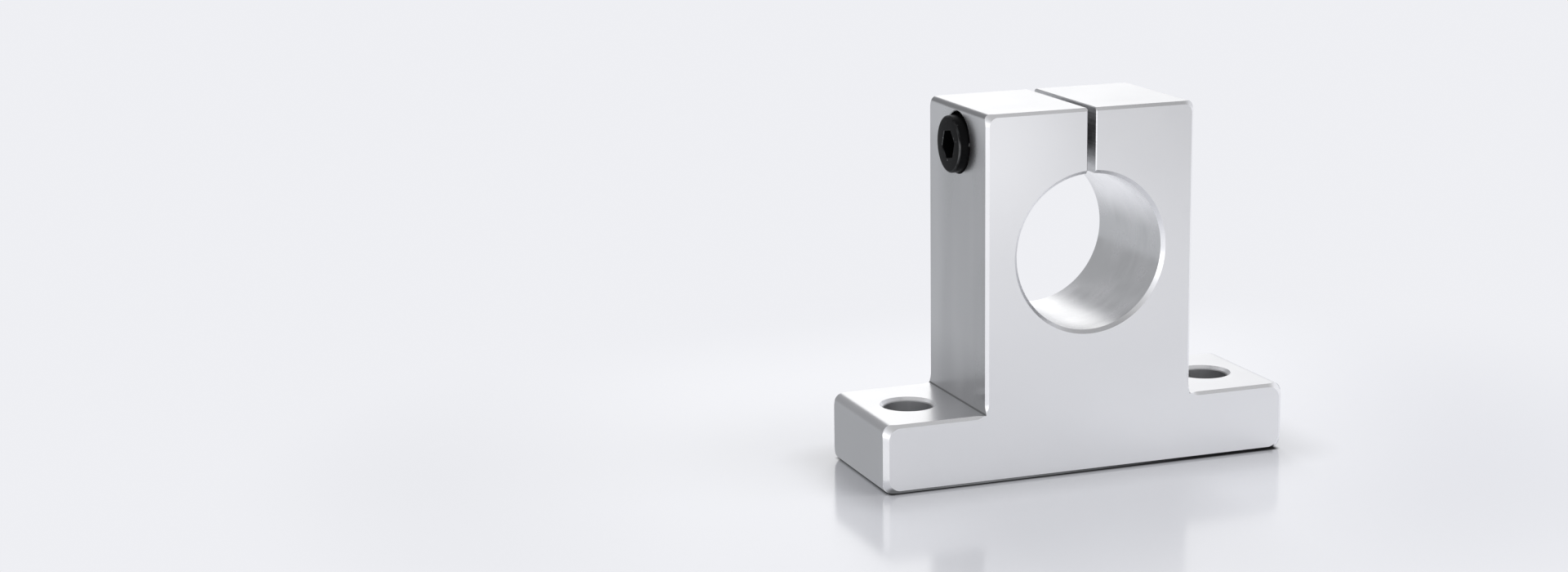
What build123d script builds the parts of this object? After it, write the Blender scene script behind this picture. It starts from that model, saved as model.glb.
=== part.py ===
"""Split shaft support block with its clamp screw, in millimetres.

The origin is the middle of the mounting face. +X runs along the base, +Y along
the shaft and +Z up. The block is one length of extruded aluminium section, bored
for the shaft and sawn open above the bore. A socket head cap screw crosses the
saw cut and draws the two jaws together on the shaft.
"""
import os

from build123d import *

# Extruded section of the block
base_width = 98.0
foot_height = 15.5
upright_width = 50.0
block_height = 82.0
foot_corner_radius = 2.1
upright_corner_radius = 1.3
inside_corner_radius = 0.4

# Length cut from the extrusion, measured along the shaft
block_depth = 32.0

# Edges broken at both cut ends, and the outline that they leave on the end face
edge_chamfer = 0.7
foot_end_chamfer = 1.1
end_face_foot_radius = 2.6
end_face_upright_radius = 1.9
chamfer_tool_radius = 2.5
chamfer_overrun = 0.2
waste_margin = 5.0

# Shaft bore, and the saw cut that opens it at the top
shaft_height = 50.0
shaft_bore_radius = 17.5
bore_chamfer = 0.8
slit_width = 2.0
slit_edge_break = 0.2

# Bolt holes in the feet
foot_hole_spacing = 74.0
foot_hole_radius = 5.5
foot_hole_chamfer = 0.85
foot_hole_lower_chamfer = 0.3

# Clamp screw, an M8 socket head cap screw
screw_drop = 8.5
thread_radius = 4.0
shank_radius = 3.95
screw_length = 40.0
threaded_length = 28.0
screw_tip_chamfer = 0.8
head_radius = 6.35
head_height = 8.0
head_edge_radius = 0.5
head_lower_chamfer = 0.2
head_stand_out = 2.2
socket_width = 6.0
socket_depth = 4.4
socket_cone_slope = 0.577
socket_turn = -10.5

# Holes that take the screw, which hangs low in the two of the left jaw
left_hole_rise = 0.35
counterbore_clearance = 0.5
counterbore_edge_break = 0.2
shank_clearance = 0.5
thread_clearance = 0.05
tapped_mouth_chamfer = 0.6

# Two radii this close are the same circle
radius_match = 1e-6

half_base = base_width / 2
half_upright = upright_width / 2
half_depth = block_depth / 2
half_slit = slit_width / 2
screw_height = block_height - screw_drop
left_hole_height = screw_height + left_hole_rise
counterbore_radius = head_radius + counterbore_clearance
counterbore_depth = head_height - head_stand_out
shank_hole_radius = shank_radius + shank_clearance
tapped_hole_radius = thread_radius + thread_clearance
seat_x = -half_upright + counterbore_depth
head_face_x = seat_x - head_height
tip_x = seat_x + screw_length

# Planes square to the shaft and to the screw
front_face = Plane(origin=(0, -half_depth, 0), x_dir=(-1, 0, 0), z_dir=(0, 1, 0))
left_side = Plane(origin=(-half_upright, 0, left_hole_height), x_dir=(0, 1, 0), z_dir=(1, 0, 0))
right_side = Plane(origin=(half_upright, 0, screw_height), x_dir=(0, 1, 0), z_dir=(-1, 0, 0))
head_face = Plane(origin=(head_face_x, 0, screw_height), x_dir=(0, 1, 0), z_dir=(1, 0, 0))
screw_section = Plane(origin=(0, 0, screw_height), x_dir=(1, 0, 0), z_dir=(0, -1, 0))
screw_axis = Axis((0, 0, screw_height), (1, 0, 0))


def inverted_tee(half_foot, half_stem, bottom, shoulder, top):
    """Draw the section's outline, a base with an upright in its middle."""
    Polyline(
        (-half_foot, bottom),
        (half_foot, bottom),
        (half_foot, shoulder),
        (half_stem, shoulder),
        (half_stem, top),
        (-half_stem, top),
        (-half_stem, shoulder),
        (-half_foot, shoulder),
        close=True,
    )


def round_tee(sketch, inner_radius, foot_radius, upright_radius):
    """Round the two inside corners, the four foot corners and the two at the top."""
    shoulder = sketch.vertices().group_by(Axis.Y)[1].sort_by(Axis.X)
    fillet(shoulder[1:3], inner_radius)
    sides = sketch.vertices().group_by(Axis.X)
    fillet(sides[0] + sides[-1], foot_radius)
    fillet(sketch.vertices().group_by(Axis.Y)[-1], upright_radius)


# What the chamfering tool takes off round both ends. Its radius keeps it out of
# the inside corners, so the broken edge fades out before it meets the upright.
waste_depth = foot_end_chamfer + chamfer_overrun
with BuildPart() as edge_waste:
    with BuildSketch(front_face):
        with Locations((0, block_height / 2)):
            Rectangle(base_width + waste_margin, block_height + waste_margin)
    extrude(amount=waste_depth)
    with BuildSketch(front_face) as end_outline:
        with BuildLine():
            inverted_tee(
                half_base - foot_end_chamfer,
                half_upright - edge_chamfer,
                edge_chamfer,
                foot_height - edge_chamfer,
                block_height - edge_chamfer,
            )
        make_face()
        round_tee(
            end_outline,
            chamfer_tool_radius + edge_chamfer,
            end_face_foot_radius,
            end_face_upright_radius,
        )
    extrude(amount=waste_depth, taper=-45, mode=Mode.SUBTRACT)
    mirror(about=Plane.XZ)

# The block, in one piece
with BuildPart() as block:
    with BuildSketch(Plane.XZ) as section:
        with BuildLine():
            inverted_tee(half_base, half_upright, 0, foot_height, block_height)
        make_face()
        round_tee(section, inside_corner_radius, foot_corner_radius, upright_corner_radius)
    extrude(amount=half_depth, both=True)
    add(edge_waste.part, mode=Mode.SUBTRACT)

    # Shaft bore, chamfered at both mouths
    with BuildSketch(Plane.XZ):
        with Locations((0, shaft_height)):
            Circle(shaft_bore_radius)
    extrude(amount=half_depth, both=True, mode=Mode.SUBTRACT)
    bore_rims = block.edges().filter_by(GeomType.CIRCLE).filter_by(
        lambda edge: abs(edge.radius - shaft_bore_radius) < radius_match
    )
    chamfer(bore_rims, bore_chamfer)

    # Bolt holes, chamfered where the bolt head or washer sits and eased below
    with Locations((0, 0, foot_height)):
        with GridLocations(foot_hole_spacing, 1, 2, 1):
            Hole(foot_hole_radius)
    hole_rims = block.edges().filter_by(GeomType.CIRCLE).filter_by(
        lambda edge: abs(edge.radius - foot_hole_radius) < radius_match
    )
    chamfer(hole_rims.group_by(Axis.Z)[-1], foot_hole_chamfer)
    chamfer(hole_rims.group_by(Axis.Z)[0], foot_hole_lower_chamfer)

    # Counterbore and clearance hole in the left jaw
    with BuildSketch(left_side):
        Circle(counterbore_radius)
    extrude(amount=counterbore_depth, mode=Mode.SUBTRACT)
    with BuildSketch(left_side):
        Circle(counterbore_radius + counterbore_edge_break)
    extrude(amount=counterbore_edge_break, taper=45, mode=Mode.SUBTRACT)
    with BuildSketch(left_side):
        Circle(shank_hole_radius)
    extrude(amount=half_upright, mode=Mode.SUBTRACT)

    # Tapped hole through the right jaw, opened at the thread's full radius
    with BuildSketch(right_side):
        Circle(tapped_hole_radius)
    extrude(amount=half_upright, mode=Mode.SUBTRACT)
    with BuildSketch(right_side):
        Circle(tapped_hole_radius + tapped_mouth_chamfer)
    extrude(amount=tapped_mouth_chamfer, taper=45, mode=Mode.SUBTRACT)

    # Saw cut from the top into the bore, its edges eased on the ends and the top
    with BuildSketch(Plane.XY.offset(shaft_height)):
        with BuildLine():
            Polyline(
                (half_slit + slit_edge_break, -half_depth),
                (half_slit, -half_depth + slit_edge_break),
                (half_slit, half_depth - slit_edge_break),
                (half_slit + slit_edge_break, half_depth),
                (-half_slit - slit_edge_break, half_depth),
                (-half_slit, half_depth - slit_edge_break),
                (-half_slit, -half_depth + slit_edge_break),
                (-half_slit - slit_edge_break, -half_depth),
                close=True,
            )
        make_face()
    extrude(amount=block_height - shaft_height, mode=Mode.SUBTRACT)
    with BuildSketch(Plane.XZ):
        with BuildLine():
            Polyline(
                (-half_slit - slit_edge_break, block_height),
                (half_slit + slit_edge_break, block_height),
                (half_slit, block_height - slit_edge_break),
                (-half_slit, block_height - slit_edge_break),
                close=True,
            )
        make_face()
    extrude(amount=half_depth, both=True, mode=Mode.SUBTRACT)

# The clamp screw, turned about its own axis, with a hexagon socket in its head
with BuildPart() as clamp_screw:
    with BuildSketch(screw_section):
        with BuildLine():
            Polyline(
                (head_face_x + head_edge_radius, head_radius),
                (seat_x - head_lower_chamfer, head_radius),
                (seat_x, head_radius - head_lower_chamfer),
                (seat_x, shank_radius),
                (tip_x - threaded_length, shank_radius),
                (tip_x - threaded_length, thread_radius),
                (tip_x - screw_tip_chamfer, thread_radius),
                (tip_x, thread_radius - screw_tip_chamfer),
                (tip_x, 0),
                (head_face_x, 0),
                (head_face_x, head_radius - head_edge_radius),
            )
            RadiusArc(
                (head_face_x, head_radius - head_edge_radius),
                (head_face_x + head_edge_radius, head_radius),
                head_edge_radius,
            )
        make_face()
    revolve(axis=screw_axis)

    # Socket, with the shallow cone that its drill leaves at the bottom
    with BuildSketch(head_face):
        RegularPolygon(socket_width / 2, 6, major_radius=False, rotation=socket_turn)
    extrude(amount=socket_depth, mode=Mode.SUBTRACT)
    with BuildSketch(screw_section):
        with BuildLine():
            Polyline(
                (head_face_x + socket_depth, 0),
                (head_face_x + socket_depth, socket_width / 2),
                (head_face_x + socket_depth + socket_width / 2 * socket_cone_slope, 0),
                close=True,
            )
        make_face()
    revolve(axis=screw_axis, mode=Mode.SUBTRACT)

block.part.label = "block"
clamp_screw.part.label = "clamp_screw"

os.makedirs("parts", exist_ok=True)
export_step(block.part, "parts/block.step")
export_step(clamp_screw.part, "parts/clamp_screw.step")
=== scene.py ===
import math

import bmesh
import bpy
from mathutils import Matrix, Vector


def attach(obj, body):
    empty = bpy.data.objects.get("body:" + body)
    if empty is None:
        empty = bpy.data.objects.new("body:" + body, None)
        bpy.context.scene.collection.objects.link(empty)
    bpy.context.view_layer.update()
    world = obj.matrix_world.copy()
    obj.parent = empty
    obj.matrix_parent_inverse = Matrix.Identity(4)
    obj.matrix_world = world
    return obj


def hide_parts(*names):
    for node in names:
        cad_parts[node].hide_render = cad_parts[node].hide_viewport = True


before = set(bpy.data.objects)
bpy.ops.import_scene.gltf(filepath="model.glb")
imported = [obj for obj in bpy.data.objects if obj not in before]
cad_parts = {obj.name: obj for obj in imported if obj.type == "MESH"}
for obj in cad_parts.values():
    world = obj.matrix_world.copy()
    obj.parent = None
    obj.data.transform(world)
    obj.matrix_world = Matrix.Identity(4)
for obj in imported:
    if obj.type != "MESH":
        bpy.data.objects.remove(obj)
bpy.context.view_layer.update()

# The block is one length of extruded aluminium, sawn off, bored, drilled and slit,
# then etched and anodised clear. It carries the extrusion's fine lines on its long
# sides, a fine speckle on its cut ends and turning rings in the bore.


class Wire:
    """One output of a finish. Sums on it add their own maths nodes."""

    def __init__(self, finish, socket):
        self.finish = finish
        self.socket = socket

    def maths(self, operation, *values, clamp=False):
        settings = {"operation": operation, "use_clamp": clamp}
        return self.finish.add("ShaderNodeMath", settings, dict(enumerate(values)))

    def __add__(self, other):
        return self.maths("ADD", self, other)

    def __sub__(self, other):
        return self.maths("SUBTRACT", self, other)

    def __rsub__(self, other):
        return self.maths("SUBTRACT", other, self)

    def __mul__(self, other):
        return self.maths("MULTIPLY", self, other)

    def __pow__(self, other):
        return self.maths("POWER", self, other)

    __radd__ = __add__
    __rmul__ = __mul__

    def __abs__(self):
        return self.maths("ABSOLUTE", self)

    def eased(self, start, end):
        """0 up to start and 1 from end on, with a smooth rise between them."""
        settings = {"interpolation_type": "SMOOTHSTEP"}
        inputs = {"Value": self, "From Min": start, "From Max": end}
        return self.finish.add("ShaderNodeMapRange", settings, inputs)

    def clipped(self):
        return self.maths("ADD", self, 0.0, clamp=True)

    def above(self, limit):
        return self.maths("MAXIMUM", self, limit)


class Finish:
    """The nodes of one material, or of the world."""

    def __init__(self, owner):
        owner.use_nodes = True
        self.owner = owner
        self.tree = owner.node_tree
        self.tree.nodes.clear()

    def add(self, kind, settings, inputs, output=0):
        """Adds a node, sets it up, fills or links its inputs, and gives one output."""
        node = self.tree.nodes.new(kind)
        for name, value in settings.items():
            setattr(node, name, value)
        for name, value in inputs.items():
            if isinstance(value, Wire):
                self.tree.links.new(value.socket, node.inputs[name])
            else:
                node.inputs[name].default_value = value
        return Wire(self, node.outputs[output]) if node.outputs else None

    def split(self, vector):
        node = self.add("ShaderNodeSeparateXYZ", {}, {0: vector}).socket.node
        return [Wire(self, output) for output in node.outputs]

    def grain(self, place, stretch, detail=2.0):
        """Noise from 0 to 1, with so many grains a metre along X, Y and Z."""
        inputs = {0: place, 1: stretch}
        spread = self.add("ShaderNodeVectorMath", {"operation": "MULTIPLY"}, inputs)
        inputs = {"Vector": spread, "Scale": 1.0, "Detail": detail}
        return self.add("ShaderNodeTexNoise", {}, inputs)

    def blend(self, amount, first, second):
        """The first colour where amount is 0, and the second where it is 1."""
        inputs = {0: amount, 6: first, 7: second}
        return self.add("ShaderNodeMix", {"data_type": "RGBA"}, inputs, 2)

    def skin(self, look, height, lift):
        """Closes the finish with the look's values, and a relief from height."""
        inputs = {"Strength": 1.0, "Distance": lift, "Height": height}
        relief = self.add("ShaderNodeBump", {}, inputs)
        shader = self.add("ShaderNodeBsdfPrincipled", {}, {**look, "Normal": relief})
        self.add("ShaderNodeOutputMaterial", {}, {"Surface": shader})
        return self.owner


half_upright = 0.025
upright_limit = 0.03
foot_height = 0.0155
half_slit = 0.001
slit_floor = 0.067
bore_height = 0.05
bore_reach = 0.0184
foot_hole_place = 0.037
foot_hole_reach = 0.0056
countersink_reach = 0.0064
countersink_floor = 0.0146
screw_height = 0.0735
soft_rim = 0.0002
line_rim = 0.00007
square_on = (0.9, 0.97)
rounded_off = (0.93, 0.99)
relief_lift = 0.000004

# The metal's colour runs from the darkest to the palest; the two greys below are for
# painted shade.
darkest_metal = (0.62, 0.622, 0.63, 1)
palest_metal = (0.98, 0.982, 0.99, 1)
painted_shade_grey = (0.2, 0.2, 0.205, 1)
corner_shadow = (0.1, 0.1, 0.1, 1)

anodised = Finish(bpy.data.materials.new("clear_anodised_aluminium"))
place = anodised.add("ShaderNodeTexCoord", {}, {}, "Object")
across, along, up = anodised.split(place)
normal = anodised.add("ShaderNodeTexCoord", {}, {}, "Normal")
sideways, endways, upways = anodised.split(normal)

cut_end = abs(endways).eased(*square_on)
level = abs(upways).eased(*square_on)
broken_edge = abs(endways).eased(0.2, 0.4) * (1 - cut_end)
from_shaft = (across ** 2.0 + (up - bore_height) ** 2.0) ** 0.5
bored = (1 - from_shaft.eased(bore_reach, bore_reach + soft_rim)) * (1 - cut_end)
from_bolt = ((abs(across) - foot_hole_place) ** 2.0 + along ** 2.0) ** 0.5
drilled = (
    (1 - from_bolt.eased(foot_hole_reach, foot_hole_reach + soft_rim))
    * (1 - level)
)
countersunk = (
    (1 - from_bolt.eased(countersink_reach, countersink_reach + soft_rim))
    * (1 - drilled)
    * up.eased(countersink_floor, countersink_floor + soft_rim / 2)
    * (1 - level)
)
sawn = (
    (1 - abs(across).eased(half_slit + soft_rim / 2, half_slit + soft_rim * 1.5))
    * up.eased(slit_floor, slit_floor + 0.001)
)
extruded = (1 - cut_end) * (1 - bored) * (1 - drilled) * (1 - sawn)
upright_side = (
    abs(sideways).eased(*square_on)
    * extruded
    * (1 - abs(across).eased(upright_limit, upright_limit + 0.001))
)
at_top = up.eased(0.08, 0.081)
rounded_top = (
    extruded
    * at_top
    * (1 - abs(sideways).eased(*rounded_off))
    * (1 - abs(upways).eased(*rounded_off))
    * (1 - broken_edge)
)
# A painted shadow line in the inside corner, where the foot meets the upright.
corner_shadow_line = (
    abs(across).eased(half_upright - line_rim, half_upright)
    * (1 - abs(across).eased(half_upright + soft_rim, half_upright + soft_rim * 2))
    * up.eased(foot_height - line_rim, foot_height)
    * (1 - up.eased(foot_height + soft_rim, foot_height + soft_rim * 2))
)

speckle = anodised.grain(place, (7000.0, 7000.0, 7000.0))
die_lines = anodised.grain(place, (5200.0, 55.0, 5200.0))
turned_rings = anodised.grain(place, (60.0, 7500.0, 60.0))
ring_bands = anodised.grain(place, (90.0, 700.0, 90.0), 3.0)
saw_lines = anodised.grain(place, (60.0, 120.0, 2600.0))
drill_rings = anodised.grain(place, (60.0, 60.0, 5000.0))
clouds = anodised.grain(place, (70.0, 70.0, 70.0), 4.0)
streaks = anodised.grain(place, (110.0, 110.0, 26.0), 1.0)
smudges = anodised.grain(place, (110.0, 110.0, 110.0), 1.5)

relief = (
    speckle * cut_end * 0.5
    + die_lines * extruded * 0.35
    + turned_rings * bored * 0.3
    + saw_lines * sawn * 1.5
    + drill_rings * drilled * 0.8
)

grain_tone = (
    (clouds - 0.5) * 0.08
    + (speckle - 0.5) * 0.08
    + (die_lines - 0.5) * extruded * 0.06
)
# Painted light on the cut ends: lighter near the top on the left, and lighter near the
# bottom.
end_painted_light = (
    up.eased(0.045, 0.08) * (1 - across.eased(-0.022, 0.004)) * 0.25
    + (1 - up.eased(0.004, 0.03)) * 0.2
) * cut_end
# Random streaks on the upright's sides, with painted shade towards the foot and painted
# light near the top and towards the back.
side_streaks_and_painted_light = (
    (streaks - 0.5) * 0.5
    - (1 - up.eased(0.015, 0.032)) * 0.6
    + up.eased(0.072, 0.08) * 0.5
    + along.eased(0.003, 0.015) * 0.3
) * upright_side
# Random smudges and bands in the bore, with painted light near its top and towards its
# back, and painted shade low down, deeper towards the front.
front_of_bore = 1 - along.eased(-0.016, -0.004)
bore_smudges_and_painted_light = (
    (smudges - 0.5) * 0.7
    + (ring_bands - 0.5) * 0.25
    + up.eased(0.059, 0.066) * 0.3
    + along.eased(0.002, 0.014) * 0.25
    - (1 - up.eased(0.033, 0.038)) * (0.6 + front_of_bore * 0.45)
    + 0.5
) * bored
# Saw lines in the slit, with painted light near its bottom, where it opens into the bore.
slit_mouth = 1 - up.eased(0.069, screw_height)
slit_saw_lines_and_painted_light = ((saw_lines - 0.5) * 1.8 + slit_mouth * 0.7) * sawn
# A lighter tone on the broken edges, with painted shade on the top chamfers that deepens
# towards the right.
edge_tone_and_painted_shade = (0.4 - at_top * across.eased(-0.01, 0.02) * 0.5) * broken_edge
# Painted light on the foot holes' countersinks, and painted shade on their walls.
hole_painted_light = countersunk * 0.5 - drilled * 0.4
# Random tone and the painted light above add up here, with painted shade on the rounded
# top edges.
shade = grain_tone + end_painted_light + side_streaks_and_painted_light + bore_smudges_and_painted_light + slit_saw_lines_and_painted_light + edge_tone_and_painted_shade + hole_painted_light
shade = (shade - rounded_top * 0.7 + 0.5).clipped()

# Painted shade greys the foot holes' walls towards the top, and the rounded top edges.
painted_shade_in_holes_and_top = drilled * up.eased(0.007, 0.0145) * 0.4 + rounded_top * 0.3
tone = anodised.blend(shade, darkest_metal, palest_metal)
tone = anodised.blend(corner_shadow_line * 0.8, tone, corner_shadow)
tone = anodised.blend(painted_shade_in_holes_and_top, tone, painted_shade_grey)
roughness = (
    (clouds - 0.5) * 0.1
    + (speckle - 0.5) * 0.06
    - broken_edge * 0.06
    + ((smudges - 0.5) * 0.3 - 0.05) * bored
    + (streaks - 0.5) * upright_side * 0.2
    + drilled * 0.2
    + sawn * 0.06
    + 0.3
)

block_look = {"Base Color": tone, "Metallic": 1.0, "Roughness": roughness}
bare_metal = anodised.skin(block_look, relief, relief_lift)
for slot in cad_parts["block"].material_slots:
    slot.material = bare_metal

# The clamp screw is an M8 socket head cap screw of hardened steel, blackened and
# lightly oiled. Its thread is rolled, and its head is forged with a hexagon socket.
# It drops into the left jaw's counterbore and screws into the right jaw.
head_face = -0.0272
head_seat = -0.0192
head_radius = 0.00635
head_edge = 0.0005
edge_steps = 6
seat_ease = 0.0002
seat_fillet = 0.0003
fillet_steps = 4
shank_radius = 0.00395
thread_start = -0.0072
thread_end = 0.0208
thread_length = thread_end - thread_start
thread_radius = 0.004
thread_root = 0.00335
thread_pitch = 0.00125
thread_crest = thread_pitch / 8
thread_valley = thread_pitch / 5
thread_fade = 0.0016
tip_chamfer = 0.0008
tip_radius = thread_radius - tip_chamfer
socket_reach = 0.003
socket_depth = 0.0044
socket_cone = 0.00173
socket_mouth = 0.00015
socket_corner = math.radians(-10.5)
sharp_corner = math.radians(28)
screw_facets = 96
rings_a_pitch = 12
head_blend = 0.0001

deep_black = (0.002, 0.002, 0.0022, 1)
oily_black = (0.008, 0.008, 0.0085, 1)
rim_highlight_grey = (0.08, 0.08, 0.082, 1)
dust = (0.45, 0.45, 0.45, 1)


def thread_height(turns):
    """How far a thread stands above its root, from 0 to 1, at this many pitches along."""
    from_crest = abs(turns - round(turns)) * thread_pitch
    flank = (thread_pitch - thread_crest - thread_valley) / 2
    return min(1.0, max(0.0, 1 - (from_crest - thread_crest / 2) / flank))


def screw_ring(position, radius):
    """One ring of points round the screw's axis; radius may change with the angle."""
    ring = []
    for step in range(screw_facets):
        angle = 2 * math.pi * step / screw_facets
        reach = radius(angle) if callable(radius) else radius
        height = screw_height + reach * math.sin(angle)
        ring.append((position, reach * math.cos(angle), height))
    return ring


def thread_ring(position):
    """One ring through the thread, which fades in and ends in the chamfered tip."""
    fade = min(1.0, (position - thread_start) / thread_fade)
    tip_limit = tip_radius + (thread_end - position)

    def radius(angle):
        turns = position / thread_pitch - angle / (2 * math.pi)
        cut = (thread_radius - thread_root) * (1 - thread_height(turns)) * fade
        return min(thread_radius - cut, tip_limit)

    return screw_ring(position, radius)


def socket_ring(position, reach):
    """One ring round the hexagon, with this distance from the axis to its flats."""

    def radius(angle):
        from_flat = (angle - socket_corner) % (math.pi / 3) - math.pi / 6
        return reach / math.cos(from_flat)

    return screw_ring(position, radius)


thread_steps = round(thread_length / thread_pitch * rings_a_pitch)
rings = [
    thread_ring(thread_end - thread_length * step / thread_steps)
    for step in range(thread_steps)
]
rings.append(screw_ring(thread_start, shank_radius))
for step in range(fillet_steps + 1):
    turn = math.pi / 2 / fillet_steps * step
    rings.append(screw_ring(
        head_seat + seat_fillet * (1 - math.sin(turn)),
        shank_radius + seat_fillet * (1 - math.cos(turn)),
    ))
rings.append(screw_ring(head_seat, head_radius - seat_ease))
rings.append(screw_ring(head_seat - seat_ease, head_radius))
for step in range(edge_steps + 1):
    turn = math.pi / 2 / edge_steps * step
    rings.append(screw_ring(
        head_face + head_edge * (1 - math.sin(turn)),
        head_radius - head_edge * (1 - math.cos(turn)),
    ))
rings.append(socket_ring(head_face, socket_reach + socket_mouth))
rings.append(socket_ring(head_face + socket_mouth, socket_reach))
rings.append(socket_ring(head_face + socket_depth, socket_reach))
rings.append(screw_ring(head_face + socket_depth, socket_reach))


def ringed_mesh(name, rings, first, last):
    """Joins the rings into one closed skin, with a point in the middle of each end."""
    points = [first] + [point for ring in rings for point in ring] + [last]
    count = len(rings[0])
    last_ring = 1 + (len(rings) - 1) * count
    faces = []
    for step in range(count):
        after = (step + 1) % count
        faces.append((0, 1 + after, 1 + step))
        for row in range(len(rings) - 1):
            near, far = 1 + row * count, 1 + (row + 1) * count
            faces.append((near + step, near + after, far + after, far + step))
        faces.append((last_ring + step, last_ring + after, len(points) - 1))
    mesh = bpy.data.meshes.new(name)
    mesh.from_pydata(points, [], faces)
    shape = bmesh.new()
    shape.from_mesh(mesh)
    bmesh.ops.recalc_face_normals(shape, faces=shape.faces)
    shape.to_mesh(mesh)
    shape.free()
    mesh.shade_smooth()
    mesh.set_sharp_from_angle(angle=sharp_corner)
    piece = bpy.data.objects.new(name, mesh)
    bpy.context.scene.collection.objects.link(piece)
    return piece


cap_screw = ringed_mesh(
    "cap_screw",
    rings,
    (thread_end, 0, screw_height),
    (head_face + socket_depth + socket_cone, 0, screw_height),
)

blackened = Finish(bpy.data.materials.new("black_oxide_steel"))
place = blackened.add("ShaderNodeTexCoord", {}, {}, "Object")
across = blackened.split(place)[0]
normal = blackened.split(blackened.add("ShaderNodeTexCoord", {}, {}, "Normal"))
outward = normal[0]
upward = normal[2]
forge_grain = blackened.grain(place, (3000.0, 3000.0, 3000.0), 3.0)
oil = blackened.grain(place, (420.0, 420.0, 420.0), 4.0)
turned = blackened.grain(place, (9000.0, 50.0, 50.0))
specks = blackened.grain(place, (1500.0, 1500.0, 1500.0), 0.0).eased(0.81, 0.83)

on_head = 1 - across.eased(head_seat - head_blend, head_seat + head_blend)
head_rim = (
    outward.eased(-1.0, -0.94)
    * (1 - outward.eased(-0.5, -0.15))
    * (1 - across.eased(-0.0265, -0.026))
)
oil_glint = head_rim * (1 - abs(upward + 0.05).eased(0.08, 0.32)) * 0.8
blackness = (oil * 0.7 + forge_grain * 0.3).clipped()
# A painted highlight lightens the head's rim in patches.
painted_rim_highlight = head_rim * oil.eased(0.35, 0.65) * 0.7
black_tone = blackened.blend(blackness, deep_black, oily_black)
black_tone = blackened.blend(painted_rim_highlight, black_tone, rim_highlight_grey)
black_tone = blackened.blend(specks * 0.7, black_tone, dust)
screw_look = {
    "Base Color": black_tone,
    "Metallic": 0.0,
    "Roughness": 0.3 + (oil - 0.5) * 0.16 + (forge_grain - 0.5) * 0.1,
    "Specular IOR Level": 0.055,
    "Coat Weight": oil_glint,
    "Coat Roughness": 0.2,
    "Coat IOR": 1.9,
}
black_relief = forge_grain * 0.5 + turned * on_head * 0.4
cap_screw.data.materials.append(blackened.skin(screw_look, black_relief, relief_lift))
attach(cap_screw, "clamp_screw")
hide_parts("clamp_screw")

# The right jaw is tapped right through. The screw stops short of its far side, so
# the last few turns of the thread stand open. They are cut in the block's own metal.
tapped_root = 0.00408
tapped_crest = 0.00342
tapped_start = 0.0214
tapped_end = 0.0242
tapped_foot = 0.00054
tapped_top = 0.00008
tapped_ease = 0.35
least_rise = 0.02
least_width = 0.3
steps_a_turn = 72

tapped_turns = (tapped_end - tapped_start) / thread_pitch
tapped_steps = round(tapped_turns * steps_a_turn)
sections = []
for step in range(tapped_steps + 1):
    turns = step / steps_a_turn
    angle = 2 * math.pi * turns
    middle = tapped_start + turns * thread_pitch
    rise = min(1.0, turns / tapped_ease, (tapped_turns - turns) / tapped_ease)
    rise = max(rise, least_rise)
    width = least_width + (1 - least_width) * rise
    crest = tapped_root - (tapped_root - tapped_crest) * rise
    section = []
    for offset, reach in (
        (-tapped_foot, tapped_root),
        (-tapped_top, crest),
        (tapped_top, crest),
        (tapped_foot, tapped_root),
    ):
        height = screw_height + reach * math.sin(angle)
        section.append((middle + offset * width, reach * math.cos(angle), height))
    sections.append(section)
tapped_thread = ringed_mesh(
    "tapped_thread",
    sections,
    tuple(sum(values) / len(values) for values in zip(*sections[0])),
    tuple(sum(values) / len(values) for values in zip(*sections[-1])),
)
tapped_thread.data.materials.append(bare_metal)
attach(tapped_thread, "block")

# The floor is a pale, lightly glossy sheet that holds the block's shadow and reflection,
# a painted contact shadow along its foot and painted shade close by, and takes the
# background's colour farther off. Only metal sees the painted reflections on it: a grey
# card glowing behind, and a band glowing in front, bright and then darker on the right.
pale = (0.86, 0.866, 0.9, 1)
floor_painted_shade = (0.3, 0.302, 0.312, 1)
painted_contact_dark = (0.03, 0.03, 0.031, 1)
card_grey = (0.425, 0.434, 0.452, 1)
band_bright = (1.42, 1.425, 1.458, 1)
band_dark = (0.44, 0.443, 0.46, 1)
floor_radius = 4.0
floor_sides = 64
floor_near = 0.03
floor_far = 0.14
block_half = (0.049, 0.016)
contact_half = (0.0469, 0.0153)
contact_fade = (0.0004, 0.0018)
under_hole = (0.0055, 0.0062)
close_reach = 0.016

floor_mesh = bpy.data.meshes.new("floor")
rim = []
for step in range(floor_sides):
    angle = 2 * math.pi * step / floor_sides
    rim.append((floor_radius * math.cos(angle), floor_radius * math.sin(angle), 0.0))
floor_mesh.from_pydata(rim, [], [tuple(range(floor_sides))])
floor = bpy.data.objects.new("floor", floor_mesh)
bpy.context.scene.collection.objects.link(floor)

sheet = Finish(bpy.data.materials.new("pale_floor"))
across, along = sheet.split(sheet.add("ShaderNodeTexCoord", {}, {}, "Object"))[:2]
watched = sheet.add("ShaderNodeLightPath", {}, {}, "Is Camera Ray")
mirrored = sheet.add("ShaderNodeLightPath", {}, {}, "Is Glossy Ray")
looked_through = sheet.add("ShaderNodeLightPath", {}, {}, "Is Transmission Ray")
seen = (watched + mirrored + looked_through).clipped()

out_across = (abs(across) - block_half[0]).above(0.0)
out_along = (abs(along) - block_half[1]).above(0.0)
faded = ((out_across ** 2.0 + out_along ** 2.0) ** 0.5).eased(floor_near, floor_far)
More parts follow.
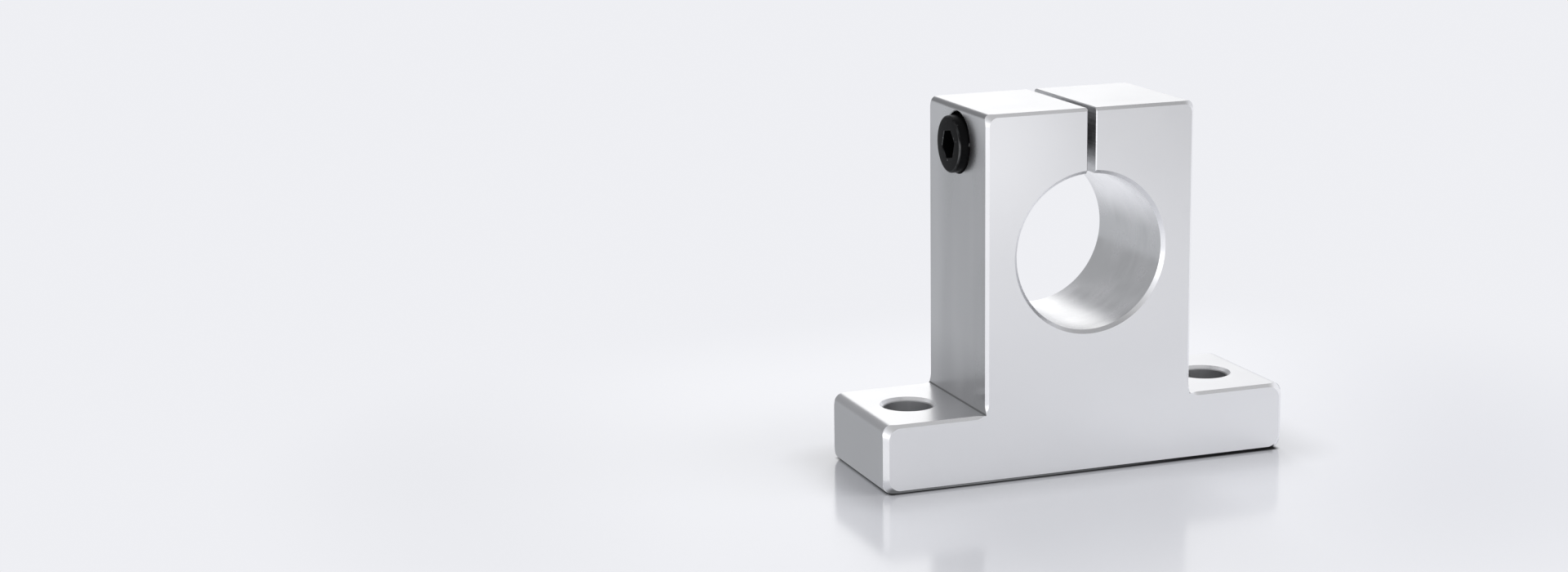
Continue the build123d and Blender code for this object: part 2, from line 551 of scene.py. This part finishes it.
# A painted contact shadow: a dark patch under the block that fades out just past its
# foot, open under each foot hole.
past_end = (abs(across) - contact_half[0]).above(0.0) * 0.9
past_front = (abs(along) - contact_half[1]).above(0.0)
past_block = (past_end ** 2.0 + past_front ** 2.0) ** 0.5
from_bolt = ((abs(across) - foot_hole_place) ** 2.0 + along ** 2.0) ** 0.5
painted_contact_patch = (1 - past_block.eased(*contact_fade)) * from_bolt.eased(*under_hole)
# Painted shade on the floor close to the block, which the metal doesn't see.
painted_shade_by_block = (1 - past_block.eased(0.0, close_reach)) * (1 - mirrored) * 0.4
glossy = sheet.add(
    "ShaderNodeBsdfPrincipled",
    {},
    {
        "Base Color": sheet.blend(painted_shade_by_block, pale, floor_painted_shade),
        "Roughness": 0.14,
        "Specular IOR Level": 0.9,
    },
)
contact = sheet.add("ShaderNodeBsdfDiffuse", {}, {"Color": painted_contact_dark})
lit = sheet.add("ShaderNodeMixShader", {}, {0: painted_contact_patch, 1: glossy, 2: contact})
glow = sheet.add("ShaderNodeEmission", {}, {"Color": pale, "Strength": 1.0})
surface = sheet.add("ShaderNodeMixShader", {}, {0: faded * seen, 1: lit, 2: glow})

# A painted reflection: a grey card glowing behind on the left, seen only by glossy rays.
on_card = (
    (1 - (across + along * 0.1).eased(-0.03, 0.03))
    * (across + along * 1.2).eased(-0.12, -0.04)
    * along.eased(-0.03, 0.005)
    * mirrored
)
card = sheet.add("ShaderNodeEmission", {}, {"Color": card_grey, "Strength": 1.0})
surface = sheet.add("ShaderNodeMixShader", {}, {0: on_card, 1: surface, 2: card})

# A painted reflection: a band glowing far in front, bright and then darker on the right,
# seen only by glossy rays.
in_front = (1 - along.eased(-0.38, -0.26)) * mirrored
band_tone = sheet.blend(across.eased(0.13, 0.27), band_bright, band_dark)
band = sheet.add("ShaderNodeEmission", {}, {"Color": band_tone, "Strength": 1.0})
surface = sheet.add("ShaderNodeMixShader", {}, {0: in_front, 1: surface, 2: band})
sheet.add("ShaderNodeOutputMaterial", {}, {"Surface": surface})
floor_mesh.materials.append(sheet.owner)

# The studio is a pale room, greyer overhead. Metal sees it brighter behind on the
# right, on the left and in front, and darker behind on the left. Two lamps on the right
# light the floor, and the one behind throws the block's shadow forward.
overhead = (0.5, 0.5, 0.51, 1)
dusk = (0.33, 0.334, 0.346, 1)
soft_fill = (0.58, 0.585, 0.602, 1)
bright_spots = (
    ((0.32, 0.91, 0.265), 0.965, 0.996, 1.42),
    ((-0.93, -0.36, 0.05), 0.9, 0.99, 1.3),
    ((0.16, -0.98, 0.1), 0.93, 0.99, 1.05),
)
lamp_target = Vector((0, 0, 0.04))

world = bpy.data.worlds.new("studio")
bpy.context.scene.world = world
room = Finish(world)
watched = room.add("ShaderNodeLightPath", {}, {}, "Is Camera Ray")
mirrored = room.add("ShaderNodeLightPath", {}, {}, "Is Glossy Ray")
looked_through = room.add("ShaderNodeLightPath", {}, {}, "Is Transmission Ray")
seen = (watched + mirrored + looked_through).clipped()
direction = room.add("ShaderNodeTexCoord", {}, {}, "Generated")
rightward, backward, upward = room.split(direction)
sky = room.blend(upward.eased(0.35, 0.85), pale, overhead)
for middle, fringe, core, brightness in bright_spots:
    toward = rightward * middle[0] + backward * middle[1] + upward * middle[2]
    bright = (brightness, brightness, brightness, 1)
    sky = room.blend(toward.eased(fringe, core), sky, bright)
behind_left = (
    (1 - (rightward + backward * 0.1 + upward * 0.2).eased(0.18, 0.45))
    * backward.eased(0.5, 0.8)
    * (1 - upward.eased(0.45, 0.7))
)
sky = room.blend(behind_left, sky, dusk)
sky = room.blend(watched, sky, pale)
shown = room.blend(seen, soft_fill, sky)
background = room.add("ShaderNodeBackground", {}, {"Color": shown, "Strength": 1.0})
room.add("ShaderNodeOutputWorld", {}, {"Surface": background})


def soft_box(name, position, size, power):
    """A square lamp turned to the block, hidden from the camera and the metal."""
    lamp = bpy.data.lights.new(name, "AREA")
    lamp.size = size
    lamp.energy = power
    box = bpy.data.objects.new(name, lamp)
    box.location = position
    box.rotation_mode = "QUATERNION"
    box.rotation_quaternion = (lamp_target - Vector(position)).to_track_quat("-Z", "Y")
    box.visible_camera = False
    box.visible_glossy = False
    bpy.context.scene.collection.objects.link(box)


soft_box("key_light", (0.5, -0.3, 0.7), 0.5, 1.6)
soft_box("back_light", (0.4, 1.1, 1.0), 0.6, 5.5)

# The camera stands low on the left of the block and looks slightly down, with the
# block right of the middle of a wide picture.
camera_azimuth = math.radians(-19.49)
camera_elevation = math.radians(12.54)
camera_roll = math.radians(-0.866)
camera_distance = 0.5795
camera_target = Vector((-0.06591, 0.0, 0.04503))

eye = bpy.data.cameras.new("camera")
eye.lens = 61.21
eye.sensor_width = 36.0
eye.clip_start = 0.01
eye.clip_end = 20.0
camera = bpy.data.objects.new("camera", eye)
bpy.context.scene.collection.objects.link(camera)
bpy.context.scene.camera = camera
back = Vector((
    math.sin(camera_azimuth) * math.cos(camera_elevation),
    -math.cos(camera_azimuth) * math.cos(camera_elevation),
    math.sin(camera_elevation),
))
level_right = (-back).cross(Vector((0, 0, 1))).normalized()
level_up = level_right.cross(-back)
right = level_right * math.cos(camera_roll) + level_up * math.sin(camera_roll)
upright = level_up * math.cos(camera_roll) - level_right * math.sin(camera_roll)
turned_to = Matrix((right, upright, back)).transposed().to_4x4()
stands_at = Matrix.Translation(camera_target + back * camera_distance)
camera.matrix_world = stands_at @ turned_to

bpy.context.scene.view_settings.view_transform = "Standard"
